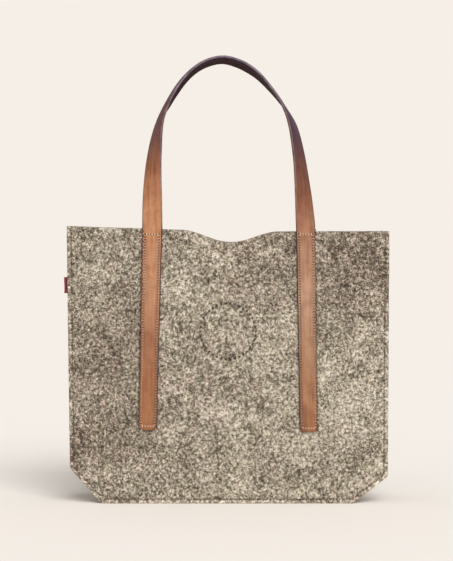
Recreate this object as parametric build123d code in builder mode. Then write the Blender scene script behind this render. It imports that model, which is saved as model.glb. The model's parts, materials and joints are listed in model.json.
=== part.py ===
from build123d import *
import os
from math import atan2, cos, degrees, pi, radians, sin

# Felt knitting bag with two long leather handles, in millimetres.
# +X is the bag's right as seen from the front, the front faces -Y and +Z is up.
# The bag stands on z = 0 on the lower edges of its front and back panels. Its front handle stands
# up and leans in, and its back handle hangs down behind, so the felt body sits forward of y = 0.

# Felt body
top_width = 420
base_width = 414
bag_height = 358
bag_depth = 110
bag_y = -23
felt = 4
corner_cut_width = 43
corner_cut_height = 41
scoop_width = 130
scoop_depth = 15.6

# Seams between the panels and the gusset, sewn with the raw edges outward
seam_allowance = 9
seam_line = 5.5
seam_thread = 0.8
thread_height = 0.4

# Ring of small punched holes on the front panel
ring_radius = 36
ring_holes = 38
ring_hole = 2
ring_height = 224

# Leather straps: each has two legs sewn to a panel and a free loop between them
strap_width = 25
strap_thickness = 3.2
leg_top_x = 99.7
leg_foot_x = 104.5
leg_top = 357
leg_foot = 94
foot_bulge = 3
stitch_inset = 3.4
stitch_top = 352
stitch_foot = 100
stitch_thread = 0.9

# The loops hinge where the leather leaves the felt, just outside the legs
hinge_offset = 3.5
hinge_height = 360
loop_gap = 0.5
lean_in = 11
hang_stand_off = 8

# Small folded ribbon in the left side seam
tag_height = 21
tag_centre = 284
tag_reach = 4
tag_tail = 6
tag_thickness = 1.2
tag_fold_radius = 0.54

# Depths are measured from the bag's mid-plane, and side_plane turns them into places
panel_y = bag_depth / 2
inner_y = panel_y - felt
flange_y = inner_y - felt
side_slope = (top_width - base_width) / 2 / (bag_height - corner_cut_height)
splay = degrees(atan2(leg_foot_x - leg_top_x, leg_top - leg_foot))

# An outline is drawn this much too tall and then cut level, so that moving it in leaves its top open
spare_height = 50


def panel_corners(rise):
    """Corners of a panel, whose tapered sides run on above the top by the given rise."""
    top_x = top_width / 2 + side_slope * rise
    cut_x = base_width / 2
    foot_x = cut_x - corner_cut_width
    top_z = bag_height + rise
    return [
        (-top_x, top_z),
        (-cut_x, corner_cut_height),
        (-foot_x, 0),
        (foot_x, 0),
        (cut_x, corner_cut_height),
        (top_x, top_z),
    ]


def side_plane(facing, depth):
    """Plane at a depth from the mid-plane on the front (-1) or back (+1) side, always facing the front."""
    return Plane.XZ.offset(-bag_y - facing * depth)


def inset_shape(distance):
    """The panel's outline moved in by a distance at the sides and foot, and left open at the top."""
    with BuildSketch() as shape:
        with BuildLine():
            Polyline(*panel_corners(spare_height), close=True)
        make_face()
        if distance > 0:
            offset(amount=-distance, kind=Kind.INTERSECTION)
        with Locations((0, bag_height / 2)):
            Rectangle(2 * top_width, bag_height, mode=Mode.INTERSECT)
    return shape.sketch


def edge_band(outer, inner):
    """Strip along the sides, cut corners and foot, between two distances from the panel's edge."""
    with BuildSketch() as band:
        add(inset_shape(outer))
        add(inset_shape(inner), mode=Mode.SUBTRACT)
    return band.sketch


def panel_shape():
    """A whole felt panel with its shallow bell-shaped scoop between the handles."""
    half = scoop_width / 2
    with BuildSketch() as shape:
        with BuildLine():
            Polyline((-half, bag_height), *panel_corners(0), (half, bag_height))
            Spline(
                (half, bag_height),
                (half / 2, bag_height - scoop_depth / 2),
                (0, bag_height - scoop_depth),
                (-half / 2, bag_height - scoop_depth / 2),
                (-half, bag_height),
                tangents=((-1, 0), (-1, 0)),
            )
        make_face()
    return shape.sketch


def leg_shape():
    """A sewn leg of the strap, hanging down from its local origin, with a bulged foot."""
    length = leg_top - leg_foot
    half = strap_width / 2
    with BuildSketch() as shape:
        with BuildLine():
            Polyline((-half, foot_bulge - length), (-half, 0), (half, 0), (half, foot_bulge - length))
            ThreePointArc((half, foot_bulge - length), (0, -length), (-half, foot_bulge - length))
        make_face()
    return shape.sketch


def stitch_shape():
    """The closed rectangle of stitching on a leg, in the leg's local frame."""
    width = strap_width - 2 * stitch_inset
    height = stitch_top - stitch_foot
    with BuildSketch() as shape:
        with Locations((0, (stitch_top + stitch_foot) / 2 - leg_top)):
            Rectangle(width + stitch_thread, height + stitch_thread)
            Rectangle(width - stitch_thread, height - stitch_thread, mode=Mode.SUBTRACT)
    return shape.sketch


def leg_plane(side, facing, depth):
    """Plane of a leg at a depth from the mid-plane, facing the front and turned by the leg's splay."""
    tilt = radians(splay) * side
    return Plane(
        origin=(side * leg_top_x, bag_y + facing * depth, leg_top),
        x_dir=(cos(tilt), 0, sin(tilt)),
        z_dir=(0, -1, 0),
    )


# Felt panels and the strip between them

with BuildPart() as front_panel:
    with BuildSketch(side_plane(-1, panel_y)):
        add(panel_shape())
        with Locations((0, ring_height)):
            with PolarLocations(ring_radius, ring_holes):
                Circle(ring_hole / 2, mode=Mode.SUBTRACT)
    extrude(amount=-felt)

with BuildPart() as back_panel:
    with BuildSketch(side_plane(1, panel_y)):
        add(panel_shape())
    extrude(amount=felt)

tag_edge = -(base_width / 2 + side_slope * (tag_centre - corner_cut_height))
tag_y = bag_y - inner_y + tag_thickness / 2

with BuildPart() as gusset:
    with BuildSketch(side_plane(-1, inner_y)):
        add(edge_band(0, seam_allowance + felt))
    extrude(amount=-2 * inner_y)
    with BuildSketch(side_plane(-1, flange_y)):
        add(edge_band(0, seam_allowance))
    extrude(amount=-2 * flange_y, mode=Mode.SUBTRACT)
    with Locations((tag_edge, tag_y, tag_centre)):
        Box(2 * tag_tail, tag_thickness, tag_height, mode=Mode.SUBTRACT)

with BuildPart() as side_tag:
    with Locations((tag_edge + (tag_tail - tag_reach) / 2, tag_y, tag_centre)):
        Box(tag_tail + tag_reach, tag_thickness, tag_height)
    fillet(side_tag.edges().filter_by(Axis.Z).group_by(Axis.X)[0], tag_fold_radius)

pieces = {
    "front_panel": front_panel,
    "back_panel": back_panel,
    "gusset": gusset,
    "side_tag": side_tag,
}

# Sewn legs and their stitching: a thread on the leather and its bobbin thread inside the bag

for face, facing in (("front", -1), ("back", 1)):
    for hand, side in (("left", -1), ("right", 1)):
        with BuildPart() as leg:
            with BuildSketch(leg_plane(side, facing, panel_y)):
                add(leg_shape())
            extrude(amount=-facing * strap_thickness)
        pieces[f"{face}_{hand}_strap"] = leg

        with BuildPart() as stitching:
            with BuildSketch(leg_plane(side, facing, panel_y + strap_thickness)):
                add(stitch_shape())
            extrude(amount=-facing * thread_height)
            with BuildSketch(leg_plane(side, facing, inner_y)):
                add(stitch_shape())
            extrude(amount=facing * thread_height)
        pieces[f"{face}_{hand}_stitching"] = stitching

# Seam threads: one line on the panel's face and its bobbin line on the gusset's flange

for face, facing in (("front", -1), ("back", 1)):
    with BuildPart() as seam:
        with BuildSketch(side_plane(facing, panel_y)):
            add(edge_band(seam_line - seam_thread / 2, seam_line + seam_thread / 2))
        extrude(amount=-facing * thread_height)
        with BuildSketch(side_plane(facing, flange_y)):
            add(edge_band(seam_line - seam_thread / 2, seam_line + seam_thread / 2))
        extrude(amount=facing * thread_height)
    pieces[f"{face}_seam_thread"] = seam

# Free loops. The strap leaves each leg flat to the bag and turns on edge over the top of the arch.
# The arch is drawn upright, as distances from the mid-line and above the felt's top edge.

arch_points = [
    (-99.7, 0),
    (-98.5, 62),
    (-95, 121),
    (-79, 169),
    (-51, 208),
    (-11, 227.5),
    (37, 208),
    (72.5, 164),
    (90, 117),
    (96.5, 62),
    (99.7, 0),
]
arch_sections = 32
twist_share = 0.34

arch = Spline(*arch_points, tangents=((0, 1), (0, -1)))


def strap_section(along):
    """Cross-section plane of the upright front strap at a fraction of the arch."""
    spot = arch.position_at(along)
    way = arch.tangent_at(along)
    turned = min(min(along, 1 - along) / twist_share, 1)
    twist = (turned + sin(turned * pi / 2)) / 2 * pi / 2
    outward = 1 if along > 0.5 else -1
    across = Vector(way.Y, 0, -way.X) * cos(twist) + Vector(0, outward, 0) * sin(twist)
    return Plane(
        origin=(spot.X, bag_y - panel_y - strap_thickness / 2, hinge_height + loop_gap + spot.Y),
        x_dir=across,
        z_dir=(way.X, 0, way.Y),
    )


with BuildPart() as upright_loop:
    for step in range(arch_sections + 1):
        with BuildSketch(strap_section(step / arch_sections)):
            Rectangle(strap_width, strap_thickness)
    loft(ruled=True)

hinge_y = panel_y + hinge_offset
front_hinge = Axis((0, bag_y - hinge_y, hinge_height), (1, 0, 0))
back_hinge = Axis((0, bag_y + hinge_y, hinge_height), (1, 0, 0))

with BuildPart() as front_handle_loop:
    add(upright_loop.part.rotate(front_hinge, -lean_in))
pieces["front_handle_loop"] = front_handle_loop

with BuildPart() as back_handle_loop:
    add(upright_loop.part.mirror(Plane.XZ.offset(-bag_y)).rotate(back_hinge, -(180 - hang_stand_off)))
pieces["back_handle_loop"] = back_handle_loop

os.makedirs("parts", exist_ok=True)
for name, piece in pieces.items():
    piece.part.label = name
    export_step(piece.part, f"parts/{name}.step")
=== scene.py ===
import json
import math
from functools import partialmethod

import bmesh
import bpy
import numpy as np
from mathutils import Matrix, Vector, noise
from mathutils.geometry import delaunay_2d_cdt


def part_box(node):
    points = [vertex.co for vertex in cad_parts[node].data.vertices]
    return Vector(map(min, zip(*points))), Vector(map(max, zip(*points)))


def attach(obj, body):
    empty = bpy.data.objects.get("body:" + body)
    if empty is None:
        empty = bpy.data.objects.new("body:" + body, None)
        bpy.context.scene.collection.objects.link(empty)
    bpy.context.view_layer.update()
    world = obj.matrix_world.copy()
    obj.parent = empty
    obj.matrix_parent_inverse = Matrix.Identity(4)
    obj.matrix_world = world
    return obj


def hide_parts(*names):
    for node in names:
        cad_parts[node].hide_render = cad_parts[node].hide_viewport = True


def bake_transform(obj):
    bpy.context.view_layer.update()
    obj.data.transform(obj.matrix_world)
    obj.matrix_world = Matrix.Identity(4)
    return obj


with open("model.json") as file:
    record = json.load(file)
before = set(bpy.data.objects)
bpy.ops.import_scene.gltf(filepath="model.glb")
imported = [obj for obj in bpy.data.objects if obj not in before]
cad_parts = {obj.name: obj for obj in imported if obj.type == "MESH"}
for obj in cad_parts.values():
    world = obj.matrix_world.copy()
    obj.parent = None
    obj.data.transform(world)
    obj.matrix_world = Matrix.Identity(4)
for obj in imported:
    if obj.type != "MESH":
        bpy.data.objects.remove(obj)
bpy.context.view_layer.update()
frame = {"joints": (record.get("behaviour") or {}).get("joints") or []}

# Everything is in metres, in the CAD's frame. Small sizes are written as a number of MM.
MM = 0.001


# ---- places, from the frame

front_low, front_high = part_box("front_panel")
back_low, back_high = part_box("back_panel")
leg_low, leg_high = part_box("front_left_strap")
FELT = front_high.y - front_low.y
LEATHER = leg_high.y - leg_low.y
HALF = front_high.x
TOP = front_high.z
LEG_FOOT = leg_low.z
FACE_Y = {-1: front_low.y, 1: back_high.y}
SIDE_NAME = {-1: "front", 1: "back"}
JOINTS = {joint["name"]: Vector(joint["pos_m"]) for joint in frame["joints"]}
HINGE = {facing: JOINTS[f"{name}_handle_swing"] for facing, name in SIDE_NAME.items()}

# The felt as it was really cut: the front panel's corners aren't quite alike
SEAM_LINE = 5.5 * MM
SEAM_ALLOWANCE = 9 * MM
SEAM_PITCH = 4.3 * MM
CORNERS = {
    -1: [
        (-HALF, TOP + 3 * MM), (-HALF + 4.3 * MM, 46 * MM),
        (-HALF + 45.5 * MM, 0), (HALF - 47.5 * MM, 0),
        (HALF - 2 * MM, 35 * MM), (HALF, TOP - 3.6 * MM),
    ],
    1: [
        (-HALF, TOP), (-HALF + 3.4 * MM, 42 * MM),
        (-HALF + 46 * MM, 0), (HALF - 46.5 * MM, 0),
        (HALF - 2.6 * MM, 40 * MM), (HALF, TOP - 1 * MM),
    ],
}
# Scoop in the top edge: the heights of its two ends differ a little
SCOOP_CENTRE = 3 * MM
SCOOP_HALF = 66 * MM
SCOOP_DEPTH = {-1: 15 * MM, 1: 15.6 * MM}
SCOOP_EDGES = {-1: (TOP - 1.6 * MM, TOP - 3.8 * MM), 1: (TOP - 0.5 * MM, TOP - 0.8 * MM)}

# Ring of punched holes, and the radius of one
RING_RADIUS = 36 * MM
RING_HOLES = 38
RING_HOLE = 1.25 * MM
RING_Z = 224 * MM
HOLE_SIDES = 14
# Fibres crowd in halfway through a hole and narrow it to this share
HOLE_WAIST = 0.35

# Straps
STITCH_HALF = 8.8 * MM
STITCH_TOP = TOP - 8 * MM
FOOT_BULGE = 3 * MM
FOOT_Z = {-1: LEG_FOOT + 1.5 * MM, 1: LEG_FOOT - 1 * MM}
STITCH_FOOT = {-1: LEG_FOOT + 7 * MM, 1: LEG_FOOT + 4.3 * MM}
STITCH_PITCH = 3.58 * MM
LEG_TOP_X = {-1: -98.4 * MM, 1: 100.9 * MM}
LEG_FOOT_X = {-1: -104.2 * MM, 1: 104.8 * MM}


def smooth(t):
    """0 before 0, 1 after 1 and an even curve between."""
    t = min(max(t, 0.0), 1.0)
    return t * t * (3 - 2 * t)


def grain(x, z, size, seed):
    """Smooth noise from -1 to 1 over a surface, with lumps of about the given size."""
    return noise.noise(Vector((x / size + seed * 7.3, z / size - seed * 3.1, seed)))


# ---- outline and swell of the felt


def top_edge(x, facing):
    """Height of a panel's top edge, with the scoop between the handles."""
    (left, left_z), (right, right_z) = CORNERS[facing][0], CORNERS[facing][-1]
    places = [left, SCOOP_CENTRE - SCOOP_HALF, SCOOP_CENTRE + SCOOP_HALF, right]
    line = np.interp(x, places, [left_z, *SCOOP_EDGES[facing], right_z])
    share = min(abs(x - SCOOP_CENTRE) / SCOOP_HALF, 1)
    return float(line) - SCOOP_DEPTH[facing] * (1 + math.cos(math.pi * share)) / 2


def inset_corners(corners, distance):
    """The six corners moved in by a distance, with both top ends kept at their height."""
    lines = []
    for (x0, z0), (x1, z1) in zip(corners, corners[1:]):
        along = Vector((x1 - x0, z1 - z0)).normalized()
        inward = Vector((-along.y, along.x))
        lines.append((Vector((x0, z0)) + inward * distance, along))
    moved = []
    for i, (x, z) in enumerate(corners):
        if i in (0, len(corners) - 1):
            start, along = lines[0 if i == 0 else -1]
            moved.append(start + along * ((z - start.y) / along.y))
            continue
        (p, a), (q, b) = lines[i - 1], lines[i]
        cross = a.x * b.y - a.y * b.x
        gap = q - p
        moved.append(p + a * ((gap.x * b.y - gap.y * b.x) / cross))
    return moved


def edge_distance(x, z, facing):
    """How far a point is inside the sewn edges: the sides, cut corners and foot."""
    corners = CORNERS[facing]
    nearest = 1.0
    for (x0, z0), (x1, z1) in zip(corners, corners[1:]):
        along = Vector((x1 - x0, z1 - z0)).normalized()
        nearest = min(nearest, (z - z0) * along.x - (x - x0) * along.y)
    return nearest


def swell(x, z, facing):
    """How far a panel stands out from its flat place, in big soft waves."""
    inside = smooth((edge_distance(x, z, facing) - SEAM_ALLOWANCE) / 0.07)
    across = math.cos(x / HALF * 1.45)
    belly = 3.4 * MM * math.sin(math.pi * min(max(z / 0.33, 0), 1)) * across
    lip = -2.2 * MM * smooth((z - 0.29) / 0.07) * across
    waves = 1.3 * MM * grain(x, z, 0.11, 3 + facing) + 0.5 * MM * grain(x, z, 0.045, 8 + facing)
    return inside * (belly + lip + waves)


def seam_pinch(distance):
    """How deep the seam's thread pulls the felt in, by the distance from the edge."""
    return 0.95 * MM * math.exp(-(((distance - SEAM_LINE) / (1.5 * MM)) ** 2))


def nap(x, z, seed):
    """Fine unevenness of the felt's surface."""
    return 0.22 * MM * grain(x, z, 6 * MM, seed) + 0.12 * MM * grain(x, z, 2.6 * MM, seed + 5)


def panel_y(x, z, facing):
    """Depth of a panel's outer face at a place, without its fine nap."""
    return FACE_Y[facing] + facing * swell(x, z, facing)


def evenly(points, spacing, closed=False):
    """Points along the straight runs between the given ones, with the corners kept."""
    ends = list(points) + ([points[0]] if closed else [])
    made = []
    for a, b in zip(ends, ends[1:]):
        a, b = Vector(a), Vector(b)
        steps = max(1, round((b - a).length / spacing))
        made += [a.lerp(b, i / steps) for i in range(steps)]
    return made if closed else made + [Vector(ends[-1])]


def relaxed(points, rounds, closed):
    """Points moved towards their neighbours, which rounds a line's corners."""
    p = np.array([tuple(q) for q in points], float)
    for _ in range(rounds):
        before, after = np.roll(p, 1, 0), np.roll(p, -1, 0)
        q = p * 0.5 + (before + after) * 0.25
        if not closed:
            q[0], q[-1] = p[0], p[-1]
        p = q
    return p


def rim_normals(p):
    """Outward normals of a closed line that runs anticlockwise seen from the front."""
    return right_of(np.roll(p, -1, 0) - np.roll(p, 1, 0))


def panel_rim(facing):
    """The panel's cut edge as a closed line: down the left, along the foot, up and back over the top."""
    sewn = evenly(CORNERS[facing], 2 * MM)
    xs = np.linspace(CORNERS[facing][-1][0], CORNERS[facing][0][0], 210)[1:-1]
    top = [Vector((x, top_edge(x, facing))) for x in xs]
    p = relaxed(sewn + top, 2, closed=True)
    wander = [0.3 * MM * grain(x, z, 14 * MM, 2 + facing) for x, z in p]
    return p + rim_normals(p) * np.array(wander)[:, None]


def unit(rows):
    """Each row scaled to a length of one."""
    return rows / np.linalg.norm(rows, axis=1)[:, None]


def right_of(way):
    """Directions square to the given ones, on their right."""
    return unit(way)[:, ::-1] * [1, -1]


# ---- mesh helpers


def mesh_object(name, points, faces, slots=None, uvs=None):
    """A smooth-shaded mesh object from points and faces, with a material slot for each face."""
    mesh = bpy.data.meshes.new(name)
    mesh.from_pydata([tuple(p) for p in points], [], faces)
    if slots is not None:
        mesh.polygons.foreach_set("material_index", slots)
    if uvs is not None:
        layer = mesh.uv_layers.new(name="place")
        corner = np.zeros(len(mesh.loops), np.int32)
        mesh.loops.foreach_get("vertex_index", corner)
        layer.data.foreach_set("uv", np.array(uvs, np.float32)[corner].ravel())
    mesh.polygons.foreach_set("use_smooth", [True] * len(mesh.polygons))
    mesh.update()
    obj = bpy.data.objects.new(name, mesh)
    bpy.context.scene.collection.objects.link(obj)
    return obj


def band(a, b, closed=True):
    """Faces between two rows of point numbers, which close on themselves or are left open."""
    n = len(a)
    return [(a[i], a[(i + 1) % n], b[(i + 1) % n], b[i]) for i in range(n if closed else n - 1)]


def mark(obj, name, values):
    """Stores one number on each point of a mesh, for its material to read."""
    stored = obj.data.attributes.new(name, "FLOAT", "POINT")
    stored.data.foreach_set("value", np.array(values, np.float32))


def linear(r, g, b):
    """A screen colour of 0 to 255 as the light values that a shader takes."""
    shares = (c / 255 for c in (r, g, b))
    return tuple(c / 12.92 if c <= 10 / 255 else ((c + 0.055) / 1.055) ** 2.4 for c in shares) + (1.0,)


def face_out(obj):
    """Turns every face of a closed mesh outward."""
    mesh = bmesh.new()
    mesh.from_mesh(obj.data)
    bmesh.ops.recalc_face_normals(mesh, faces=mesh.faces)
    mesh.to_mesh(obj.data)
    mesh.free()


# ---- felt panels

# Darker and paler patches painted into the front panel's colour, mostly painted shade and painted light of
# its folds: x, z and size in metres, and strength
FOLD_SHADE_PATCHES = [
    (0.185, 0.30, 0.055, -0.13), (0.15, 0.335, 0.04, -0.08), (0.06, 0.34, 0.035, -0.08),
    (-0.15, 0.17, 0.06, -0.11), (-0.19, 0.07, 0.04, -0.1), (-0.185, 0.29, 0.03, 0.05),
    (-0.15, 0.25, 0.04, -0.06), (-0.15, 0.1, 0.03, -0.05), (0.15, 0.14, 0.08, 0.09),
    (0.0, 0.08, 0.05, 0.05), (-0.05, 0.27, 0.05, 0.05), (0.01, 0.288, 0.013, -0.13),
    (0.025, 0.33, 0.018, -0.1), (-0.139, 0.06, 0.012, -0.12),
]


def fold_shade_and_tone(x, z, facing):
    """How much paler or darker than the rest the felt is at a place: painted shade and light of the folds on
    the front panel, a random tone on the back.
    """
    if facing > 0:
        return 0.09 * grain(x, z, 0.12, 41)
    total = 0.0
    for cx, cz, size, strength in FOLD_SHADE_PATCHES:
        total += strength * math.exp(-((x - cx) ** 2 + (z - cz) ** 2) / size**2)
    return total


# Where the face ends inside the cut outline, and rows of points round the rim: mm inside, share of thickness
FACE_END = 1.1 * MM
RIM_ROWS = ((0.45, 0.075), (0.05, 0.25), (0, 0.5), (0.05, 0.75), (0.45, 0.925))
# Lines of points along the seam, in mm inside the edge, and the grid inside them
SEAM_ROWS = (3, 4.2, 5, 6, 6.8, 8)
SEAM_STEP = 2.4 * MM
GRID_STEP = 3.3 * MM
GRID_EDGE = 9.5 * MM
# A second ring of points round each hole keeps the painted shade at its rim narrow
HOLE_RIM = 0.7 * MM


def hole_centre(number):
    """Middle of one of the punched holes, seen from the front."""
    turn = 2 * math.pi * number / RING_HOLES
    return Vector((math.cos(turn), math.sin(turn))) * RING_RADIUS + Vector((0, RING_Z))


def ring_distance(x, z):
    return abs(math.hypot(x, z - RING_Z) - RING_RADIUS)


def in_hole(x, z):
    """Whether a place seen from the front is inside one of the holes."""
    number = round(math.atan2(z - RING_Z, x) / (2 * math.pi) * RING_HOLES)
    return ring_distance(x, z) <= RING_HOLE and (Vector((x, z)) - hole_centre(number)).length < RING_HOLE


def panel_points(facing, face_edge, punched):
    """Points of a panel seen from the front, the edges that its mesh keeps, and the holes' rings."""
    points = [Vector(p) for p in face_edge]
    edges = [(i, (i + 1) % len(points)) for i in range(len(points))]
    rings = []
    for number in range(RING_HOLES if punched else 0):
        centre = hole_centre(number)
        ring = list(range(len(points), len(points) + 2 * HOLE_SIDES, 2))
        for side in range(HOLE_SIDES):
            a = 2 * math.pi * side / HOLE_SIDES
            way = Vector((math.cos(a), math.sin(a)))
            points += [centre + way * RING_HOLE, centre + way * (RING_HOLE + HOLE_RIM)]
        rings.append(ring)
        edges += list(zip(ring, ring[1:] + ring[:1]))
    for inset in SEAM_ROWS:
        line = evenly(inset_corners(CORNERS[facing], inset * MM), SEAM_STEP)
        points += [p for p in line if p.y < top_edge(p.x, facing) - 2.5 * MM]
    for row in range(int(TOP / GRID_STEP) + 2):
        for column in range(int(2 * HALF / GRID_STEP) + 2):
            x = -HALF + (column + row % 2 / 2) * GRID_STEP
            z = row * GRID_STEP
            clear = not punched or ring_distance(x, z) > 3.2 * MM
            deep = edge_distance(x, z, facing) > GRID_EDGE
            if clear and deep and z < top_edge(x, facing) - 3.2 * MM:
                points.append(Vector((x, z)))
    return points, edges, rings


def felt_panel(facing, punched):
    """A thick felt panel: two napped faces, a soft rounded rim, and holes cut right through."""
    rim = panel_rim(facing)
    normals = rim_normals(rim)
    count = len(rim)
    points, edges, rings = panel_points(facing, rim - normals * FACE_END, punched)
    flat, _, triangles, origins, _, _ = delaunay_2d_cdt(points, edges, [], 1, 1e-7)
    place = {old: new for new, index in enumerate(origins) for old in index}
    if punched:
        centres = [sum((flat[i] for i in face), Vector((0, 0))) / len(face) for face in triangles]
        triangles = [face for face, centre in zip(triangles, centres) if not in_hole(*centre)]
    outer, inner, seams = [], [], []
    for x, z in flat:
        wave = swell(x, z, facing)
        seams.append(edge_distance(x, z, facing))
        pinch = seam_pinch(seams[-1])
        outer.append((x, FACE_Y[facing] + facing * (wave + nap(x, z, 1 + facing) - pinch), z))
        inner.append((x, FACE_Y[facing] + facing * (wave - FELT + nap(x, z, 21 + facing)), z))
    made = outer + inner
    seams += seams
    lips = [0.0] * len(made)
    behind = len(flat)
    faces = [tuple(f) for f in triangles] + [tuple(i + behind for i in reversed(f)) for f in triangles]
    rows = [[place[i] for i in range(count)]]
    for inset, depth in RIM_ROWS:
        rows.append(list(range(len(made), len(made) + count)))
        for (x, z), n in zip(rim, normals):
            px, pz = Vector((x, z)) - Vector(n) * inset * MM
            made.append((px, FACE_Y[facing] + facing * (swell(x, z, facing) - depth * FELT), pz))
            seams.append(edge_distance(x, z, facing))
            lips.append(1.0 if seams[-1] > 2 * MM else 0.0)
    rows.append([i + behind for i in rows[0]])
    for a, b in zip(rows, rows[1:]):
        faces += band(a, b)
    hole_points = set()
    for ring in rings:
        a = [place[i] for i in ring]
        b = [i + behind for i in a]
        middle = sum((Vector(made[i]) for i in a + b), Vector()) / len(a + b)
        waist = list(range(len(made), len(made) + len(a)))
        for i, j in zip(a, b):
            halfway = (Vector(made[i]) + Vector(made[j])) / 2
            made.append(middle + (halfway - middle) * HOLE_WAIST)
            seams.append(seams[i])
            lips.append(0.0)
        faces += band(a, waist) + band(waist, b)
        hole_points.update(a, b, waist)
    obj = mesh_object(f"felt_{SIDE_NAME[facing]}", made, faces)
    mark(obj, "inside", seams)
    mark(obj, "lip", lips)
    # Painted shade and light of the front panel's folds, stored for the felt's colour
    mark(obj, "fold_shade_and_tone", [fold_shade_and_tone(p[0], p[2], facing) for p in made])
    # Points of the hole walls, which the felt's colour fills with painted shade
    mark(obj, "punched", [float(i in hole_points) for i in range(len(made))])
    face_out(obj)
    return obj


# ---- gusset

# Radii of the fold between the strip and its flanges, on the channel side and on the bag side
FOLD_OUT = 1.5 * MM
FOLD_IN = 5 * MM
# Steps along the left side, cut corner, foot, cut corner and right side
GUSSET_STEPS = (80, 18, 82, 18, 80)


def gusset_section():
    """Points (y, inset) round the strip's section, its front and back faces, and how many one side has."""
    y0 = FACE_Y[-1] + FELT + 0.05 * MM
    y1 = FACE_Y[1] - FELT - 0.05 * MM
    channel, bag = [], []
    web_out, web_in = SEAM_ALLOWANCE, SEAM_ALLOWANCE + FELT
    for share in (0, 0.3, 0.6, 0.85):
        channel.append((y0 + FELT, 0.6 * MM + share * (web_out - FOLD_OUT)))
        bag.append((y0, 0.6 * MM + share * (web_in - FOLD_IN)))
    for i in range(6):
        a = math.pi / 2 * i / 5
        near, far = 1 - math.cos(a), 1 - math.sin(a)
        channel.append((y0 + FELT + FOLD_OUT * near, web_out - FOLD_OUT * far))
        bag.append((y0 + FOLD_IN * near, web_in - FOLD_IN * far))
    middle = (y0 + y1) / 2
    for half, inset in ((channel, web_out), (bag, web_in)):
        start = half[-1][0]
        half += [(start + (middle - start) * share, inset) for share in (0.12, 0.28, 0.46, 0.64, 0.82)]
        half += [(middle, inset)] + [(2 * middle - y, d) for y, d in reversed(half)]
    tip, far_tip = (y0 + FELT / 2, 0.0), (y1 - FELT / 2, 0.0)
    return [tip] + channel + [far_tip] + bag[::-1], y0, y1, len(channel)


def corners_between(distance, share):
    """The corners moved in by a distance, at a share of the way from front to back."""
    front, back = (inset_corners(CORNERS[facing], distance) for facing in (-1, 1))
    return [a.lerp(b, share) for a, b in zip(front, back)]


def felt_gusset():
    """The strip round the sides and foot, with its two flanges turned outward."""
    section, y0, y1, side_count = gusset_section()
    middle, span = (y0 + y1) / 2, y1 - y0
    lines = []
    for y, inset in section:
        share = (y - y0) / span
        web = math.cos(math.pi * (y - middle) / (span + 2 * MM)) ** 2 if inset > 5 * MM else 0
        plain, bowed = corners_between(inset, share), corners_between(inset + 1 * MM, share)
        line = []
        for k, steps in enumerate(GUSSET_STEPS):
            for i in range(steps + (k == len(GUSSET_STEPS) - 1)):
                at = plain[k].lerp(plain[k + 1], i / steps)
                one = bowed[k].lerp(bowed[k + 1], i / steps) - at
                high = smooth((at.y - 0.06) / 0.28)
                bow = web * (1.2 + 6.5 * high + 1.2 * grain(at.x, at.y + y * 0.5, 0.07, 4))
                if k == 2:
                    bow = -1.4 * web
                line.append(at + one * bow)
        lines.append(relaxed(line, 2 + round(inset / MM * 1.6), closed=False))
    stations = len(lines[0])
    points, insets = [], []
    for (y, inset), line in zip(section, lines):
        for x, z in line:
            bump = 0.16 * MM * grain(x + z, y + inset, 6 * MM, 31) if inset > 8 * MM else 0
            sideways = bump * (1 if abs(x) > 0.19 else 0) * (-1 if x > 0 else 1)
            points.append((x + sideways, y, z + (bump if sideways == 0 else 0)))
            insets.append(inset if inset < SEAM_ALLOWANCE - 1 * MM else 0.03)
    rows = [range(j * stations, (j + 1) * stations) for j in range(len(section))]
    faces = []
    for a, b in zip(rows, rows[1:] + rows[:1]):
        faces += band(a, b, closed=False)
    for end in (0, -1):
        ends = [row[end] for row in rows]
        channel = ends[1 : side_count + 1]
        bag = ends[side_count + 2 :][::-1]
        faces.append((ends[0], channel[0], bag[0]))
        faces.append((ends[side_count + 1], bag[-1], channel[-1]))
        faces += band(channel, bag, closed=False)
    obj = mesh_object("felt_gusset", points, faces)
    mark(obj, "inside", insets)
    face_out(obj)
    return obj


# ---- leather straps

# The arch of a free loop in mm, as distances from the middle and above the felt's edge
ARCH = [
    (-98.4, 0), (-98.8, 50), (-98, 95), (-93.4, 137),
    (-79.6, 169.5), (-60.5, 199), (-38, 218.5), (-11, 227.5),
    (14, 222), (37, 208), (56, 187.5), (72.5, 164.5),
    (85, 138), (92.5, 101), (97, 60), (100.8, 0),
]
ARCH_BASE = {-1: HINGE[-1].z + 0.5 * MM, 1: HINGE[1].z - 6.5 * MM}

# By distance up from the felt's edge in mm, for a strap's left and right arm: its turn out of the bag's
# face in degrees, how far its long edges curl back and its half width in mm, and its grain's screen colour,
# which carries painted shade: darker up the arms to a dark purple over the arch, and darker on the right arm
TWIST = {
    -1: [
        (0, 0), (20, 9), (55, 26), (100, 45), (130, 61),
        (150, 75), (170, 86), (190, 90), (220, 90), (280, 92),
    ],
    1: [
        (0, 0), (20, 17), (53, 36), (77, 45), (110, 54), (140, 63),
        (160, 74), (175, 83), (215, 92), (240, 96), (280, 92),
    ],
}
CURL = {
    -1: [(0, 0), (60, 1), (120, 3), (165, 4.4), (200, 3.6), (240, 1.6), (280, 0.8)],
    1: [(0, 0), (60, 0.8), (280, 0.8)],
}
HALF_WIDTH = {
    -1: [(-262, 12.0), (-60, 12.6), (0, 13.1), (40, 13.2), (120, 12.8), (280, 12.5)],
    1: [(-262, 11.8), (-60, 12.2), (0, 12.5), (280, 12.5)],
}
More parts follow.
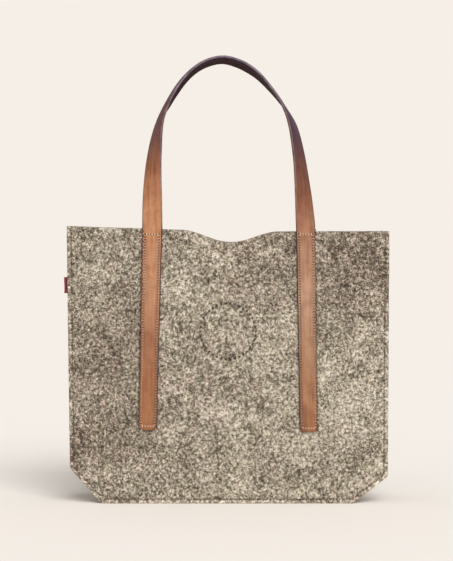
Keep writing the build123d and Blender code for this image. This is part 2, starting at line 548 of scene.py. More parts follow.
GRAIN_TONE_AND_SHADE = {
    -1: [
        (-262, (168, 116, 83)), (-200, (158, 106, 75)), (-150, (163, 113, 85)),
        (-90, (184, 136, 106)), (30, (189, 134, 100)), (80, (153, 99, 72)),
        (120, (115, 76, 72)), (160, (100, 72, 80)), (280, (80, 59, 72)),
    ],
    1: [
        (-262, (158, 108, 77)), (-200, (166, 122, 93)), (-150, (173, 134, 108)),
        (-90, (182, 143, 120)), (-10, (168, 123, 98)), (30, (138, 89, 66)),
        (80, (109, 69, 58)), (120, (82, 52, 66)), (160, (74, 52, 80)),
        (280, (80, 58, 70)),
    ],
}


def by_distance(table, rise):
    """A value from one of the tables above, for a distance along the strap in metres."""
    return float(np.interp(rise / MM, [row[0] for row in table], [row[1] for row in table]))


def grain_tone_and_shade(side, rise):
    """The colour of the grain on an arm with its painted shade, for a distance along the strap in metres."""
    rises, colours = zip(*GRAIN_TONE_AND_SHADE[side])
    return linear(*(np.interp(rise / MM, rises, channel) for channel in zip(*colours)))


# Points of the strap's section in mm, on a strap of 25 by 3.2, with a groove under each row of stitches
HALF_SECTION = 12.5
SECTION_UP = 1.6
GROOVE = 8.7
GRAIN_SIDE = [-11.5, -10.6, -9.6, -9.1, -GROOVE, -8.3, -7.8, -6, -4, -2, 0]
EDGE_SIDE = [(12.2, 1.25), (12.5, 0.65), (12.55, 0), (12.5, -0.65), (12.2, -1.25)]
FLESH_SIDE = [11.5, 8, 4, 0, -4, -8, -11.5]
# Material slots of the strap
GRAIN, EDGE, FLESH = 0, 1, 2
# Length of a rounded foot, and the pitch of the wavy outer edges in mm
END_LENGTH = 8 * MM
SCALLOP_PITCH = 6.2


# The section's points as (across, up, slot), where slot says what the face after the point shows
PROFILE = [(a, SECTION_UP, GRAIN) for a in GRAIN_SIDE[:-1] + [-a for a in GRAIN_SIDE[:0:-1]]]
PROFILE += [(-GRAIN_SIDE[0], SECTION_UP, EDGE)] + [(a, b, EDGE) for a, b in EDGE_SIDE]
PROFILE += [(a, -SECTION_UP, FLESH) for a in FLESH_SIDE[:-1]] + [(FLESH_SIDE[-1], -SECTION_UP, EDGE)]
PROFILE += [(-a, b, EDGE) for a, b in EDGE_SIDE[::-1]]


def crown(across):
    """How far the grain side rises towards the strap's middle line."""
    return 0.25 * MM * (1 - (across / (HALF_SECTION * MM)) ** 2)


def curve_through(points, spacing):
    """A smooth line through points, by cubic spans."""
    p = np.array(points, float)
    p = np.vstack([2 * p[0] - p[1], p, 2 * p[-1] - p[-2]])
    made = []
    for a, b, c, d in zip(p, p[1:], p[2:], p[3:]):
        steps = max(2, round(float(np.linalg.norm(c - b)) / spacing))
        for i in range(steps):
            t = i / steps
            squared, cubed = 2 * a - 5 * b + 4 * c - d, 3 * b - a - 3 * c + d
            made.append(0.5 * (2 * b + (c - a) * t + squared * t**2 + cubed * t**3))
    return made + [p[-2]]


def strap_line(base, spacing=1.5 * MM):
    """The strap from left foot to right foot, seen from the front as (x, height over the base)."""
    arch = curve_through([(x * MM, u * MM) for x, u in ARCH], spacing)
    left_foot, right_foot = ((LEG_FOOT_X[side], FOOT_Z[side] + FOOT_BULGE - base) for side in (-1, 1))
    left = evenly([left_foot, (LEG_TOP_X[-1], 0)], spacing)[:-1]
    right = evenly([(LEG_TOP_X[1], 0), right_foot], spacing)[1:]
    return relaxed(left + [Vector(p) for p in arch] + right, 6, closed=False)


def finer(line, low, high, times):
    """The line with its runs between two heights divided, where a strap folds tightly."""
    made = []
    for a, b in zip(line, line[1:]):
        cut = times if low < (a[1] + b[1]) / 2 < high else 1
        made += [a + (b - a) * i / cut for i in range(cut)]
    return np.array(made + [line[-1]])


def strap_stations(facing, fold, line):
    """Places and directions along a strap. fold(u) is the angle it has turned outward at a length u up."""
    line = line if facing < 0 else line[::-1]
    way = unit(np.gradient(line, axis=0))
    heights = np.linspace(0, max(line[:, 1]) + 1 * MM, 1200)
    angle = np.array([fold(h) for h in heights])
    step = heights[1] - heights[0]
    out = np.concatenate([[0], np.cumsum(np.sin(angle) * step)[:-1]])
    up = np.concatenate([[0], np.cumsum(np.cos(angle) * step)[:-1]])
    run = np.concatenate([[0], np.cumsum(np.linalg.norm(np.diff(line, axis=0), axis=1))])
    above = np.where(line[:, 1] >= 0)[0]
    starts = {np.sign(line[above[0], 0]): run[above[0]], np.sign(line[above[-1], 0]): run[above[-1]]}
    half_way = (run[above[0]] + run[above[-1]]) / 2
    made = []
    for (x, u), (wx, wu), s in zip(line, way, run):
        side = -1 if (s < half_way) == (facing < 0) else 1
        rise = abs(s - starts[side]) * (1 if u > 0 else -1)
        turn = fold(u) if u > 0 else 0.0
        lift = Vector((0, facing * math.sin(turn), math.cos(turn)))
        outward = Vector((0, facing * math.cos(turn), -math.sin(turn)))
        z = ARCH_BASE[facing] + min(u, 0)
        place = Vector((x, panel_y(x, min(z, TOP), facing) + facing * LEATHER / 2, z))
        if u > 0:
            place.y += facing * float(np.interp(u, heights, out))
            place.z += float(np.interp(u, heights, up))
        twist = math.radians(by_distance(TWIST[side], rise))
        along = (Vector((1, 0, 0)) * wx + lift * wu).normalized()
        inward = (Vector((1, 0, 0)) * wu - lift * wx) * -facing
        across = inward * math.cos(twist) + outward * math.sin(twist)
        across = (across - along * across.dot(along)).normalized()
        made.append({
            "at": place, "along": along, "across": across, "out": across.cross(along),
            "rise": rise, "u": u, "run": s, "side": side,
        })
    return made


def leg_wear(station):
    """How deep stitches pull a sewn leg in, as a share, and how far its outer edge waves."""
    side, rise, z = station["side"], station["rise"], station["at"].z
    if z >= TOP or rise >= 0:
        return 0.0, 0.0
    sewn = smooth((STITCH_TOP + 1.5 * MM - z) / (2 * MM))
    sewn *= smooth((z - STITCH_FOOT[side] + 1.5 * MM) / (2 * MM))
    scallop = math.sin(rise / MM * 2 * math.pi / SCALLOP_PITCH + 2.2 * grain(rise, side, 21 * MM, 13))
    return sewn, (1.2 * scallop + 0.25 * grain(rise, side * 0.3, 5 * MM, 12)) * MM


def sweep_strap(name, stations, round_ends=(False, False)):
    """Sweeps the strap's section along its stations. A rounded end bulges and thins like a cut foot."""
    first, last = stations[0]["run"], stations[-1]["run"]
    points, uvs, rises, tones_and_shades = [], [], [], []
    for s in stations:
        from_end = [s["run"] - first, last - s["run"]]
        side, rise = s["side"], s["rise"]
        sewn, ragged = leg_wear(s)
        half_width = by_distance(HALF_WIDTH[side], rise) * MM + 0.2 * MM * grain(rise, 0.7, 24 * MM, 15)
        curl = by_distance(CURL[side], rise) * MM
        for a, b, _ in PROFILE:
            share = a / HALF_SECTION
            width = half_width + (ragged if a < 0 else ragged * 0.15)
            up = b / SECTION_UP * LEATHER / 2
            dip = 0.42 * MM * sewn if b == SECTION_UP and abs(abs(a) - GROOVE) < 0.5 else 0.0
            dip *= 1.0 if abs(a) == GROOVE else 0.45
            rounded_up = crown(a * MM) if b > 0 else 0.0
            bulge = 0.0
            for end, rounded in enumerate(round_ends):
                if rounded and from_end[end] < END_LENGTH:
                    near = 1 - smooth(from_end[end] / END_LENGTH)
                    bulge += (-1 if end == 0 else 1) * near * FOOT_BULGE * (1 - share**2)
                    thin = max(0.0, 1 - from_end[end] / (1.2 * MM))
                    up *= 1 - 0.55 * thin**2
            raised = up + rounded_up - dip - curl * share**2
            points.append(s["at"] + s["across"] * (share * width) + s["out"] * raised + s["along"] * bulge)
            uvs.append((a * MM, s["run"]))
            rises.append(rise)
            tones_and_shades.append(grain_tone_and_shade(side, rise))
    n = len(PROFILE)
    rows = [range(i * n, (i + 1) * n) for i in range(len(stations))]
    faces = []
    for a, b in zip(rows, rows[1:]):
        faces += band(a, b)
    faces += [tuple(rows[0]), tuple(rows[-1][::-1])]
    slots = [slot for _, _, slot in PROFILE] * (len(stations) - 1) + [EDGE, EDGE]
    obj = mesh_object(name, points, faces, slots, uvs)
    mark(obj, "rise", rises)
    colours = obj.data.color_attributes.new("tone_and_shade", "FLOAT_COLOR", "POINT")
    colours.data.foreach_set("color", np.array(tones_and_shades, np.float32).ravel())
    face_out(obj)
    return obj


# ---- thread

# Rings of a stitch, as (share of its half length, share of its radius)
BEAD_RINGS = ((-1, 0.25), (-0.86, 0.7), (-0.45, 1), (0.45, 1), (0.86, 0.7), (1, 0.25))
BEAD_SIDES = 8


class Beads:
    """A mesh of stitches and the needle holes' painted shade, each a small capsule that lies on a surface."""

    def __init__(self):
        self.points, self.faces, self.slots = [], [], []

    def add(self, centre, along, out, length, radius, slot, flat):
        """Adds one capsule. Its height over the surface is its width times flat."""
        across = along.cross(out)
        rows = []
        for share, size in BEAD_RINGS:
            rows.append(range(len(self.points), len(self.points) + BEAD_SIDES))
            for side in range(BEAD_SIDES):
                a = 2 * math.pi * side / BEAD_SIDES
                sideways = across * math.cos(a) * radius * size
                upward = out * math.sin(a) * radius * size * flat
                self.points.append(centre + along * share * length / 2 + sideways + upward)
        for a, b in zip(rows, rows[1:]):
            self.faces += [face[:1] + face[:0:-1] for face in band(a, b)]
        self.faces += [tuple(rows[0]), tuple(rows[-1][::-1])]
        self.slots += [slot] * ((len(rows) - 1) * BEAD_SIDES + 2)

    def object(self, name):
        return mesh_object(name, self.points, self.faces, self.slots)


def leg_x(z, side):
    """Where the middle line of a leg is at a height."""
    return LEG_TOP_X[side] + (LEG_FOOT_X[side] - LEG_TOP_X[side]) * (TOP - z) / (TOP - LEG_FOOT)


def slanted(along, out, angle):
    """A stitch's direction, turned by an angle in degrees on its surface."""
    return along * math.cos(math.radians(angle)) + along.cross(out) * math.sin(math.radians(angle))


def stitch_rectangle(side):
    """Corners of a leg's stitching seen from the front, following the leg's splay."""
    foot = STITCH_FOOT[side]
    corners = ((foot, -1), (foot, 1), (STITCH_TOP, 1), (STITCH_TOP, -1))
    return [Vector((leg_x(z, side) + hand * STITCH_HALF, z)) for z, hand in corners]


def strap_stitching(facing, side, seed):
    """Saddle stitches and dark discs of painted shade for the needle holes round a leg, and the bobbin side
    inside the bag.
    """
    beads = Beads()
    out = Vector((0, facing, 0))
    corners = stitch_rectangle(side)
    for a, b in zip(corners, corners[1:] + corners[:1]):
        count = round((b - a).length / STITCH_PITCH)
        way = (b - a).normalized()
        along = Vector((way.x, 0, way.y))
        upright = abs(way.y) > 0.5
        length, radius = (1.3 * MM, 0.72 * MM) if upright else (1.8 * MM, 0.98 * MM)
        hole_length, hole_radius = (2.4 * MM, 1.18 * MM) if upright else (1.9 * MM, 1.02 * MM)
        for i in range(count):
            middle, hole = a.lerp(b, (i + 0.5) / count), a.lerp(b, i / count)
            jitter = grain(middle.x, middle.y, 2 * MM, seed)
            tilted = slanted(along, out, 9 + 5 * jitter)
            skin = LEATHER + crown(middle.x - leg_x(middle.y, side)) - (0.1 * MM if upright else 0.0)
            felt_y, hole_y = panel_y(*middle, facing), panel_y(*hole, facing)
            place = Vector((middle.x, felt_y + facing * (skin + 0.04 * MM), middle.y))
            beads.add(place, tilted, out, length, radius * (1 + 0.1 * jitter), 0, 0.75)
            # A flat dark disc where each needle hole is: painted shade of the hole
            place = Vector((hole.x, hole_y + facing * (skin - 0.12 * MM), hole.y))
            beads.add(place, along, out, hole_length, hole_radius, 1, 0.3)
            place = Vector((middle.x, felt_y - facing * (FELT + 0.05 * MM), middle.y))
            beads.add(place, tilted, -out, 2.6 * MM, 0.42 * MM, 0, 0.7)
    return beads.object(f"stitches_{SIDE_NAME[facing]}_{'left' if side < 0 else 'right'}")


def seam_stitching(facing):
    """The brown seam stitches, sunk in the felt along the sides, cut corners and foot."""
    beads = Beads()
    out = Vector((0, facing, 0))
    line = inset_corners(CORNERS[facing], SEAM_LINE)
    line[0] = line[0].lerp(line[1], 0.012)
    line[-1] = line[-1].lerp(line[-2], 0.012)
    for a, b in zip(line, line[1:]):
        count = round((b - a).length / SEAM_PITCH)
        along = Vector(((b - a).x, 0, (b - a).y)).normalized()
        for i in range(count):
            middle = a.lerp(b, (i + 0.5) / count)
            jitter = grain(middle.x, middle.y, 3 * MM, 17)
            tilted = slanted(along, out, 4 * jitter)
            place = Vector((middle.x, panel_y(*middle, facing) - facing * 0.72 * MM, middle.y))
            beads.add(place, tilted, out, (2.5 + 0.6 * jitter) * MM, 0.55 * MM, 0, 0.8)
            place = Vector((middle.x, FACE_Y[facing] - facing * (2 * FELT + 0.05 * MM), middle.y))
            beads.add(place, tilted, -out, 3.5 * MM, 0.45 * MM, 0, 0.8)
    return beads.object(f"seam_stitches_{SIDE_NAME[facing]}")


def side_tag():
    """A folded red ribbon caught in the left side seam, its fold standing out past the edge."""
    low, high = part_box("side_tag")
    middle_y = (low.y + high.y) / 2
    thin = 0.32 * MM
    gap = 0.22 * MM
    loop = [(high.x, gap), (low.x + 1.6 * MM, gap)]
    for i in range(9):
        a = math.pi / 2 + math.pi * i / 8
        loop.append((low.x + 1.0 * MM + 1.0 * MM * math.cos(a), 0.55 * MM * math.sin(a)))
    centre = np.array(loop + [(low.x + 1.6 * MM, -gap), (high.x, -gap)])
    side = right_of(np.gradient(centre, axis=0)) * thin / 2
    outline = np.vstack([centre + side, (centre - side)[::-1]])
    steps, n = 22, len(outline)
    points, faces = [], []
    for i in range(steps + 1):
        share = i / steps
        lean = 0.25 * MM * math.sin(share * 5)
        z = low.z + (high.z - low.z) * share
        points += [(x + lean, middle_y + y, z) for x, y in outline]
    rows = [range(i * n, (i + 1) * n) for i in range(steps + 1)]
    for a, b in zip(rows, rows[1:]):
        faces += band(a, b)
    for row, turn in ((rows[0], 1), (rows[-1], -1)):
        faces += [(row[j], row[j + 1], row[n - 2 - j], row[n - 1 - j])[::turn] for j in range(n // 2 - 1)]
    obj = mesh_object("ribbon_tag", points, faces)
    face_out(obj)
    return obj


# ---- materials


class Shader:
    """A material with a Principled shader, and a short way to add and join its nodes."""

    def __init__(self, name, **settings):
        self.material = bpy.data.materials.new(name)
        self.material.use_nodes = True
        self.tree = self.material.node_tree
        self.main = self.tree.nodes["Principled BSDF"]
        for key, value in settings.items():
            self.main.inputs[key.replace("_", " ")].default_value = value

    def add(self, kind, settings=None, **inputs):
        """A new node. Its inputs are given by name, or as i0, i1 and so on by number."""
        made = self.tree.nodes.new("ShaderNode" + kind)
        for key, value in (settings or {}).items():
            setattr(made, key, value)
        for key, value in inputs.items():
            self.join(value, made.inputs[int(key[1:]) if key[1:].isdigit() else key])
        return made

    def join(self, value, socket):
        """Links an output to a socket, or sets the socket to a plain value."""
        if isinstance(value, bpy.types.NodeSocket):
            self.tree.links.new(value, socket)
        else:
            socket.default_value = value

    def place(self):
        return self.add("TexCoord").outputs["Object"]

    def place_on_strap(self):
        """Distance across a strap as x and along it as y."""
        return self.add("UVMap", {"uv_map": "place"}).outputs["UV"]

    def attribute(self, name, output="Fac"):
        return self.add("Attribute", {"attribute_name": name}).outputs[output]

    def math(self, operation, a, b=0.5, clamp=False):
        return self.add("Math", {"operation": operation, "use_clamp": clamp}, i0=a, i1=b).outputs[0]

    times = partialmethod(math, "MULTIPLY")
    plus = partialmethod(math, "ADD")
    minus = partialmethod(math, "SUBTRACT")

    def noise(self, vector, scale, detail=3.0, rough=0.5, twist=0.0):
        amounts = {"Scale": scale, "Detail": detail, "Roughness": rough, "Distortion": twist}
        return self.add("TexNoise", Vector=vector, **amounts).outputs["Fac"]

    def shifted(self, vector, *by):
        return self.add("VectorMath", {"operation": "ADD"}, i0=vector, i1=by).outputs[0]

    def stretched(self, vector, *by):
        return self.add("VectorMath", {"operation": "MULTIPLY"}, i0=vector, i1=by).outputs[0]

    def span(self, value, low, high, new_low=0.0, new_high=1.0):
        """Takes low to new_low and high to new_high, with an even curve between."""
        settings = {"interpolation_type": "SMOOTHSTEP"}
        made = self.add("MapRange", settings, i0=value, i1=low, i2=high, i3=new_low, i4=new_high)
        return made.outputs[0]

    def ramp(self, value, *stops):
        made = self.add("ValToRGB", Fac=value)
        elements = made.color_ramp.elements
        while len(elements) < len(stops):
            elements.new(0.5)
        for element, (place, colour) in zip(elements, stops):
            element.position = place
            element.color = colour
        return made.outputs["Color"]

    def shades(self, value, dark, light, low=0.35, high=0.7):
        """A ramp between two screen colours."""
        return self.ramp(value, (low, linear(*dark)), (high, linear(*light)))

    def mix(self, share, a, b, blend="MIX"):
        return self.add("Mix", {"data_type": "RGBA", "blend_type": blend}, i0=share, i6=a, i7=b).outputs[2]

    def tinted(self, base, share, *factors):
        """A colour multiplied by three factors, to a share."""
        return self.mix(share, base, self.mix(1.0, base, factors + (1.0,), "MULTIPLY"))

    def bump(self, height, strength, distance):
        made = self.add("Bump", Height=height, Strength=strength, Distance=distance)
        self.tree.links.new(made.outputs["Normal"], self.main.inputs["Normal"])

    def colour(self, value):
        self.join(value, self.main.inputs["Base Color"])


def felt_material():
    """Melange wool felt: matted cream and grey-brown fibres in clumps, thin dark creases and soft clouds,
    with painted shade and light of the front panel's folds, and painted shade in the seam groove and punched
    holes.
    """
    sheen = {"Sheen_Weight": 0.15, "Sheen_Roughness": 0.5}
    s = Shader("melange_felt", Roughness=0.94, Specular_IOR_Level=0.12, **sheen)
    place = s.place()
    stir = s.add("TexNoise", Vector=place, Scale=95.0, Detail=2.0).outputs["Color"]
    stir = s.stretched(s.shifted(stir, -0.5, -0.5, -0.5), 6 * MM, 6 * MM, 6 * MM)
    warped = s.add("VectorMath", {"operation": "ADD"}, i0=place, i1=stir).outputs[0]

    def fibres(scale, width, seed, broken, turn):
        """Thin curved lines along one direction, where a stretched noise passes its middle value."""
        turned = s.add("VectorRotate", {"rotation_type": "Y_AXIS"}, Vector=warped, Angle=turn).outputs[0]
        drawn = s.shifted(s.stretched(turned, 1.0, 1.0, 0.4), seed, seed * 0.7, 0)
        near = s.math("ABSOLUTE", s.minus(s.noise(drawn, scale, 1.5, 0.5, 0.3), 0.5))
        gaps = s.span(s.noise(s.shifted(place, seed, 3.0, seed), broken, 2.0), 0.44, 0.6)
        return s.times(s.span(near, 0.0, width, 1.0, 0.0), gaps)

    # Wool: clumps, soft clouds, the front panel's painted fold shade and light, and fine fibres added up to
    # one tone
    clumps = s.noise(warped, 265.0, 3.0, 0.62, 0.2)
    clouds = s.noise(place, 34.0, 3.0, 0.55, 0.3)
    fine = s.noise(s.shifted(warped, 2.0, 5.0, 1.0), 640.0, 3.0, 0.65, 0.2)
    # Painted shade and light of the front panel's folds
    fold_shade_and_tone_mask = s.attribute("fold_shade_and_tone")
    tone = s.plus(clumps, s.times(s.minus(clouds, 0.5), 0.34))
    tone = s.plus(tone, s.times(fold_shade_and_tone_mask, 0.6))
    tone = s.plus(tone, s.times(s.minus(fine, 0.5), 0.95))
    wool = [(64, 56, 46), (102, 92, 78), (147, 136, 118), (185, 174, 155), (228, 220, 203)]
    base = s.ramp(tone, *((level, linear(*c)) for level, c in zip((0.30, 0.41, 0.50, 0.59, 0.72), wool)))
    dark = s.plus(fibres(300.0, 0.04, 4.0, 140.0, 0.6), fibres(380.0, 0.045, 9.0, 170.0, -0.9), True)
    pale = s.plus(fibres(330.0, 0.03, 14.0, 150.0, 1.5), fibres(420.0, 0.035, 19.0, 190.0, 0.1), True)
    base = s.mix(s.times(dark, 0.62), base, linear(58, 48, 39))
    base = s.mix(s.times(pale, 0.42), base, linear(236, 229, 213))
    burrs = s.span(s.noise(s.shifted(warped, 1.0, 6.0, 3.0), 125.0, 3.0, 0.55), 0.56, 0.72, 0.0, 0.4)
    base = s.mix(burrs, base, linear(98, 82, 70))

    # Faint pink and green patches
    hue = s.noise(s.shifted(place, 5.0, 2.0, 8.0), 80.0, 3.0)
    rosy = s.minus(s.times(s.span(hue, 0.48, 0.64), 0.6), s.times(fold_shade_and_tone_mask, 4.0), True)
    mossy = s.times(s.span(hue, 0.48, 0.32), 0.38)
    base = s.tinted(base, rosy, 1.06, 0.97, 1.0)
    base = s.tinted(base, mossy, 0.96, 1.02, 0.88)

    # Paler raw rim outside the seam, painted shade in the seam's groove, and the cut edge
    inside = s.attribute("inside")
    lip = s.attribute("lip")
    height = s.add("SeparateXYZ", i0=place).outputs[2]
    patchy = s.span(s.noise(s.shifted(place, 9.0, 0.0, 2.0), 130.0, 4.0), 0.36, 0.62)
    patchy = s.times(patchy, s.span(height, 0.035, 0.075, 0.9, 0.45))
    raw_rim = s.times(s.span(inside, 2.6 * MM, 4.8 * MM, 1.0, 0.0), patchy)
    base = s.tinted(base, raw_rim, 1.55, 1.5, 1.52)
    broken = s.span(s.noise(place, 210.0, 3.0, 0.6), 0.44, 0.6)
    # Painted shade along the seam's groove
    seam_groove_shade = s.span(s.math("ABSOLUTE", s.minus(inside, SEAM_LINE)), 0.3 * MM, 1.9 * MM, 1.0, 0.0)
    base = s.mix(s.times(s.times(seam_groove_shade, broken), 0.45), base, linear(62, 47, 37))
    base = s.mix(s.times(lip, 0.5), base, linear(150, 141, 148))

    # The punched holes are dark from their rims in: painted shade inside the holes
    base = s.mix(s.span(s.attribute("punched"), 0.45, 0.9, 0.0, 0.92), base, linear(34, 27, 22))
    s.colour(base)
    relief = s.plus(s.times(clumps, 0.8), s.times(fine, 0.6))
    s.bump(s.plus(relief, s.times(s.minus(pale, dark), 0.3)), 0.8, 0.9 * MM)
    return s.material


# Between these heights in metres a strap's dark borders, burnished and with painted contact shade on the
# felt, turn from the sewn legs' to the free arms'
LEAVING_FELT = (-2 * MM, 8 * MM)


def leather_grain():
    """Vegetable-tanned face of the strap: mottled, with painted shade from its colour attribute, a painted
    highlight along its middle, and burnished borders that painted contact shade darkens further on the felt.
    """
    s = Shader("tan_leather", Roughness=0.52, Specular_IOR_Level=0.24, Coat_Weight=0.04, Coat_Roughness=0.4)
    place = s.place_on_strap()
    across = s.math("ABSOLUTE", s.add("SeparateXYZ", i0=place).outputs[0])
    # The grain's colour along the strap, with painted shade up the arms and over the arch
    tone_and_shade = s.attribute("tone_and_shade", "Color")
    streaks = s.noise(s.stretched(place, 1.0, 0.07, 1.0), 330.0, 3.0, 0.55)
    clouds = s.noise(place, 48.0, 4.0, 0.6, 0.6)
    blots = s.noise(s.shifted(place, 3.0, 1.0, 0.0), 120.0, 2.0, 0.5, 0.5)
    mottle = s.plus(s.times(streaks, 0.5), s.times(clouds, 0.5))
    shades = (0.54, 0.47, 0.41, 1.0), (0.83, 0.79, 0.72, 1.0), (1.1, 1.1, 1.05, 1.0)
    shade = s.ramp(mottle, *zip((0.32, 0.5, 0.7), shades))
    base = s.mix(1.0, tone_and_shade, shade, "MULTIPLY")
    base = s.tinted(base, s.times(s.span(blots, 0.56, 0.72), 0.5), 0.92, 0.66, 0.5)
    # A painted highlight: the grain is lighter along the strap's middle
    base = s.tinted(base, s.span(across, 0.0, 6 * MM, 0.22, 0.0), 1.35, 1.45, 1.5)
    # Burnished borders, darker where the strap lies on the felt: painted contact shade there
    border_burnish_and_shade = s.span(s.attribute("rise"), *LEAVING_FELT, 0.8, 0.3)
    s.colour(s.mix(s.times(s.span(across, 10.4 * MM, 11.9 * MM), border_burnish_and_shade), base, linear(80, 50, 38)))
    pores = s.add("TexVoronoi", {"feature": "DISTANCE_TO_EDGE"}, Vector=place, Scale=1500.0)
    wrinkles = s.noise(place, 420.0, 4.0, 0.6)
    s.bump(s.plus(s.times(pores.outputs["Distance"], 0.8), wrinkles), 0.3, 0.25 * MM)
    return s.material


def leather_edge():
    """Burnished cut edge: dark with painted contact shade on the sewn legs; lighter up the arms and greyer
    over the arch, where it stands on edge, as painted highlight.
    """
    s = Shader("burnished_edge", Roughness=0.42, Specular_IOR_Level=0.45)
    place = s.place_on_strap()
    rise = s.attribute("rise")
    streaks = s.noise(s.stretched(place, 1.0, 0.3, 1.0), 260.0, 3.0)
    # Lit and shaded versions of one edge colour: painted shade on the legs, painted highlight on the arms and
    # arch
    sewn = s.shades(streaks, (44, 27, 19), (88, 55, 38))
    arm = s.shades(streaks, (118, 86, 70), (160, 122, 102))
    bend = s.shades(streaks, (78, 54, 52), (120, 88, 84))
    arch = s.shades(streaks, (72, 58, 72), (122, 104, 120))
    shade = s.mix(s.span(rise, *LEAVING_FELT), sewn, arm)
    shade = s.mix(s.span(rise, 0.04, 0.1), shade, bend)
    s.colour(s.mix(s.span(rise, 0.15, 0.21), shade, arch))
    s.bump(streaks, 0.25, 0.3 * MM)
    return s.material


def leather_flesh():
    """Rough underside of the strap, near black over the arch with painted shade."""
    s = Shader("leather_flesh", Roughness=0.85, Specular_IOR_Level=0.15)
    place = s.place_on_strap()
    rough = s.noise(s.stretched(place, 1.0, 0.5, 1.0), 520.0, 4.0, 0.65)
    low = s.shades(rough, (120, 82, 60), (172, 128, 100))
    high = s.shades(rough, (38, 22, 26), (78, 50, 55))
    # Painted shade: the underside goes near black over the arch
    s.colour(s.mix(s.span(s.attribute("rise"), 0.0, 0.12), low, high))
    s.bump(rough, 0.5, 0.4 * MM)
    return s.material


def thread_material(name, dark, light):
    """Twisted sewing thread."""
    s = Shader(name, Roughness=0.62, Specular_IOR_Level=0.3, Sheen_Weight=0.1)
    place = s.place()
    ply = s.add("TexWave", {"bands_direction": "DIAGONAL"}, Vector=place, Scale=900.0, Distortion=1.5)
    shade = s.noise(place, 300.0, 2.0)
    both = s.plus(s.times(ply.outputs["Fac"], 0.4), s.times(shade, 0.6))
    s.colour(s.shades(both, dark, light, 0.25))
    s.bump(ply.outputs["Fac"], 0.4, 0.2 * MM)
    return s.material


def hole_shade_material():
    """Painted shade of a needle hole in leather: near black, on a flat disc laid where the hole is."""
    s = Shader("needle_hole_shade", Roughness=0.9, Specular_IOR_Level=0.1)
    s.colour(s.shades(s.noise(s.place(), 900.0, 2.0), (20, 9, 5), (44, 22, 13), 0.3, 0.75))
    return s.material


def ribbon_material():
    """Plain woven red ribbon, with no lettering."""
    s = Shader("red_ribbon", Roughness=0.7, Sheen_Weight=0.3, Sheen_Roughness=0.4)
    place = s.place()
    weave = s.times(*(
        s.add("TexWave", {"bands_direction": way}, Vector=place, Scale=420.0).outputs["Fac"] for way in "ZX"
    ))
    shade = s.plus(s.times(weave, 0.5), s.times(s.noise(place, 240.0), 0.5))
    s.colour(s.shades(shade, (96, 24, 34), (158, 46, 58), 0.2, 0.6))
    s.bump(weave, 0.5, 0.15 * MM)
    return s.material


def floor_material():
    """Plain studio paper, which the lights below bring to the background's colour."""
    s = Shader("studio_paper", Roughness=1.0, Specular_IOR_Level=0.0)
    cosine = KEY_FROM.normalized().z
    s.colour(tuple(b / (a + KEY_STRENGTH * cosine / math.pi) for a, b in zip(AMBIENT, BACKGROUND)) + (1.0,))
    return s.material


# ---- light

BACKGROUND = linear(246, 239, 231)[:3]
AMBIENT = (0.56, 0.55, 0.54)
KEY_STRENGTH = 2.2
KEY_FROM = Vector((0.7, -2.1, 1.9))
KEY_SPREAD = math.radians(38)


# ---- building the bag

felt = felt_material()
leather = [leather_grain(), leather_edge(), leather_flesh()]
strap_thread = thread_material("strap_thread", (226, 172, 134), (255, 226, 198))
seam_thread = thread_material("seam_thread", (44, 31, 24), (88, 66, 51))
needle_hole_shade = hole_shade_material()


def dress(obj, *materials):
    for material in materials:
        obj.data.materials.append(material)


def outline_area(facing):
    """Flat area of a panel's cut, in square metres."""
    p = panel_rim(facing)
    q = np.roll(p, -1, 0)
    return abs(float(np.sum(p[:, 0] * q[:, 1] - q[:, 0] * p[:, 1])) / 2)


for facing, name in SIDE_NAME.items():
    panel = felt_panel(facing, punched=facing < 0)
    dress(panel, felt)
    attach(panel, "bag")
    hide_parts(f"{name}_panel")
    outline_area(facing)

gusset = felt_gusset()
dress(gusset, felt)
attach(gusset, "bag")
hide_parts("gusset")

for facing, name in SIDE_NAME.items():
    for side, hand in ((-1, "left"), (1, "right")):
        stitches = strap_stitching(facing, side, seed=facing * 2 + side)
        dress(stitches, strap_thread, needle_hole_shade)
        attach(stitches, "bag")
        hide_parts(f"{name}_{hand}_stitching")
    seam = seam_stitching(facing)
    dress(seam, seam_thread)
    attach(seam, "bag")
    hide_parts(f"{name}_seam_thread")

tag = side_tag()
dress(tag, ribbon_material())
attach(tag, "bag")
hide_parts("side_tag")

# The front handle is one strap that stands up and leans in; it bends where it leaves the felt
LEAN = math.radians(11.8)
LEAN_LENGTH = 45 * MM
front_stations = strap_stations(-1, lambda u: -LEAN * smooth(u / LEAN_LENGTH), strap_line(ARCH_BASE[-1]))
front_strap = sweep_strap("strap_front", front_stations, round_ends=(True, True))
dress(front_strap, *leather)
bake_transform(front_strap)
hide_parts("front_left_strap", "front_right_strap", "front_handle_loop")

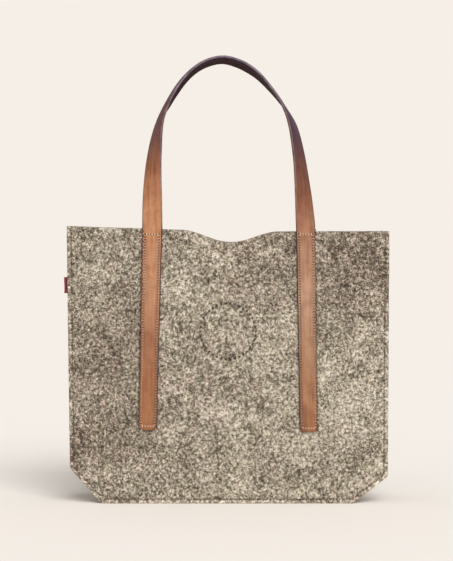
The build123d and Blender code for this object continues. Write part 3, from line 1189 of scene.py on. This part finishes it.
# The back handle hangs down behind: its loop folds outward just below the felt's edge.
HANG = math.radians(172)
FOLD_LENGTH = 8 * MM
LEG_END = -1.5 * MM
folded = finer(strap_line(ARCH_BASE[1]), -2 * MM, 12 * MM, 3)
back_stations = strap_stations(1, lambda u: HANG * min(u / FOLD_LENGTH, 1), folded)
cuts = [i for i, s in enumerate(back_stations) if s["u"] > LEG_END]
for stations, hand, ends in (
    (back_stations[: cuts[0] + 1], "right", (True, False)),
    (back_stations[cuts[-1] :], "left", (False, True)),
):
    leg = sweep_strap(f"strap_back_{hand}", stations, round_ends=ends)
    dress(leg, *leather)
    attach(leg, "bag")
    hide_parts(f"back_{hand}_strap")
back_loop = sweep_strap("strap_back_loop", back_stations[cuts[0] : cuts[-1] + 1])
dress(back_loop, *leather)
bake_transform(back_loop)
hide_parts("back_handle_loop")


# ---- studio


def look_from(obj, place, target):
    obj.location = place
    obj.rotation_mode = "QUATERNION"
    obj.rotation_quaternion = (Vector(target) - Vector(place)).to_track_quat("-Z", "Y")


FAR = 40.0
floor = mesh_object("floor", [(-FAR, -FAR, 0), (FAR, -FAR, 0), (FAR, FAR, 0), (-FAR, FAR, 0)], [(0, 1, 2, 3)])
dress(floor, floor_material())

scene = bpy.context.scene
scene.view_settings.view_transform = "Standard"

# The camera sees the plain background, and the bag is lit by a dimmer and more neutral sky
world = bpy.data.worlds.new("studio")
world.use_nodes = True
scene.world = world
sky = world.node_tree
backdrop = sky.nodes["Background"]
ambient = sky.nodes.new("ShaderNodeBackground")
for node, colour in ((backdrop, BACKGROUND), (ambient, AMBIENT)):
    node.inputs["Color"].default_value = colour + (1.0,)
seen = sky.nodes.new("ShaderNodeLightPath").outputs["Is Camera Ray"]
choice = sky.nodes.new("ShaderNodeMixShader")
for i, output in enumerate((seen, ambient.outputs[0], backdrop.outputs[0])):
    sky.links.new(output, choice.inputs[i])
sky.links.new(choice.outputs[0], sky.nodes["World Output"].inputs["Surface"])

key_data = bpy.data.lights.new("key", "SUN")
key_data.energy = KEY_STRENGTH
key_data.angle = KEY_SPREAD
key = bpy.data.objects.new("key", key_data)
scene.collection.objects.link(key)
look_from(key, KEY_FROM, (0, 0, 0))

# Camera straight in front of the bag, at half the height of the view
VIEW_HEIGHT = 0.7293
CAMERA_AWAY = 2.0
CAMERA_X = -2 * MM
CAMERA_Z = 0.29
SENSOR = 36.0
camera_data = bpy.data.cameras.new("camera")
camera_data.sensor_width = SENSOR
camera_data.lens = SENSOR * CAMERA_AWAY / VIEW_HEIGHT
camera = bpy.data.objects.new("camera", camera_data)
scene.collection.objects.link(camera)
camera_place = Vector((CAMERA_X, FACE_Y[-1] - CAMERA_AWAY, CAMERA_Z))
look_from(camera, camera_place, camera_place + Vector((0, 1, 0)))
scene.camera = camera
